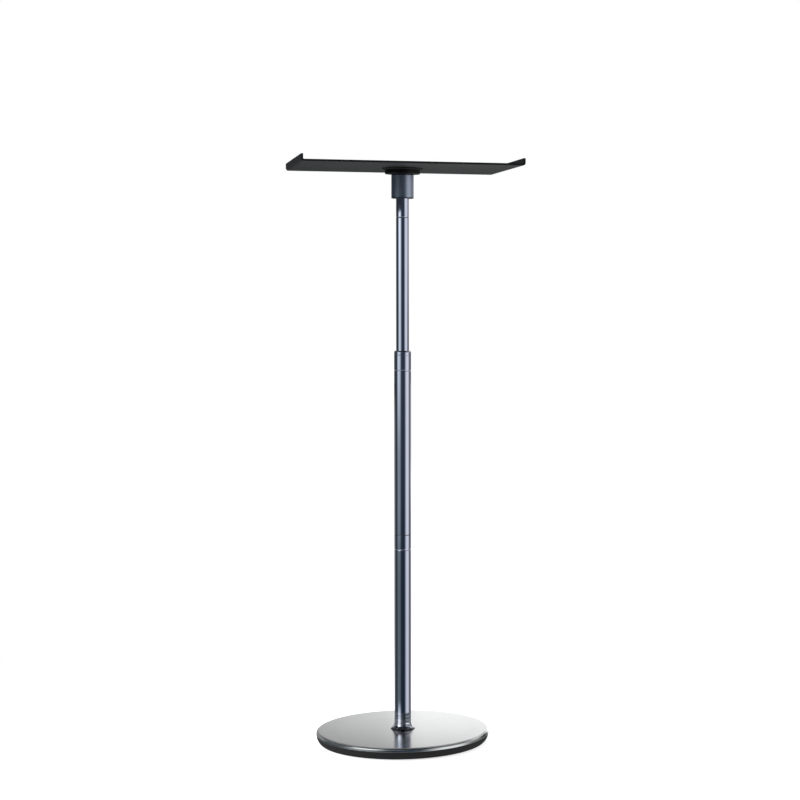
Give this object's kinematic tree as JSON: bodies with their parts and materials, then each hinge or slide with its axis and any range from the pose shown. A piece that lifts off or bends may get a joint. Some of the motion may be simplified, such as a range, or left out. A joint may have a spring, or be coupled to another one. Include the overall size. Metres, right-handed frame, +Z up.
{
  "type": "portable projector stand",
  "caption": "Floor stand with a weighted round base, a telescoping pole and a flat swivelling tray with end lips that carries a projector.",
  "frame": {"origin": "on the floor, on the pole's axis, under the middle of the base", "axes": "+X along the tray's long side, +Y towards the back, +Z up the pole"},
  "size_m": [0.3216, 0.258, 0.8691],
  "materials": {
    "satin_silver": "satin",
    "charcoal_casting": "matte coated",
    "black_rubber": "matte",
    "plated_steel": "plated",
    "polished_pole": "polished blue-grey",
    "black_plastic": "matte",
    "satin_blue_grey": "satin blue-grey",
    "black_coated_steel": "satin black coating",
    "black_screw": "blackened"
  },
  "bodies": {
    "stand": {"base_cover": "satin_silver", "base_weight": "charcoal_casting", "base_foot_ring": "black_rubber", "base_bolt": "plated_steel", "pole_foot": "polished_pole", "lower_tube": "polished_pole", "tube_coupling": "black_plastic", "middle_tube": "polished_pole", "collar": "polished_pole", "guide_bushing": "black_plastic"},
    "mast": {"inner_tube": "polished_pole", "slider": "black_plastic", "head_socket": "satin_blue_grey", "swivel_washer": "black_plastic", "pivot_bolt": "plated_steel"},
    "tray": {"tray_flange": "black_coated_steel", "tray": "black_coated_steel", "tray_screws": "black_screw"}
  },
  "joints": [
    {"name": "mast_slide", "type": "slide", "parent": "stand", "child": "mast", "axis": [0, 0, 1], "range_m": [-0.19, 0.01]},
    {"name": "tray_swivel", "type": "hinge", "parent": "mast", "child": "tray", "pos_m": [0, 0, 0.8526], "axis": [0, 0, 1], "continuous": true}
  ]
}
